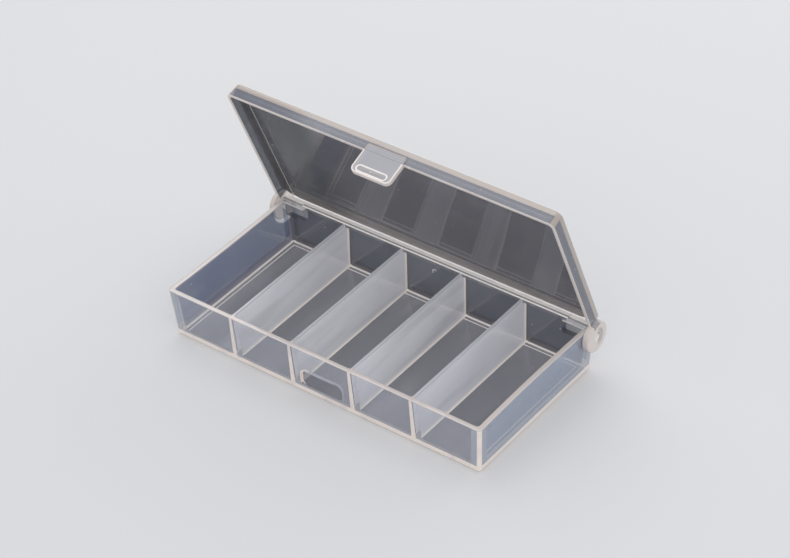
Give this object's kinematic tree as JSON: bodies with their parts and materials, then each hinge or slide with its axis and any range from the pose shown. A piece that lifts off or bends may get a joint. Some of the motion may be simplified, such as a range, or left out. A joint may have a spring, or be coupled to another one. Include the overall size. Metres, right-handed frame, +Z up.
{
  "type": "bead organizer box with one hinged lid",
  "caption": "Shallow clear plastic box for beads: a tray with dividers and one hinged lid with a snap latch, standing open.",
  "frame": {"origin": "middle of the tray's flat underside", "axes": "+X along the row of compartments, left to right seen from the front; +Y from the latch wall to the hinge wall; +Z up"},
  "size_m": [0.1344, 0.0683, 0.0771],
  "materials": {
    "clear_tray": "glossy, slightly milky",
    "clear_lid": "glossy, slightly milky",
    "clear_tab": "glossy, slightly milky"
  },
  "bodies": {
    "tray": {"tray": "clear_tray"},
    "lid": {"lid": "clear_lid"},
    "latch_tab": {"latch_tab": "clear_tab"}
  },
  "joints": [
    {"name": "lid_hinge", "type": "hinge", "parent": "tray", "child": "lid", "pos_m": [0, 0.0301, 0.0158], "axis": [-1, 0, 0], "range_deg": [-69.5, 110.5]},
    {"name": "latch_flex", "type": "hinge", "parent": "lid", "child": "latch_tab", "pos_m": [0, 0.00721, 0.07589], "axis": [-1, 0, 0], "range_deg": [0, 10], "stiffness_Nm_per_rad": 0.2}
  ]
}
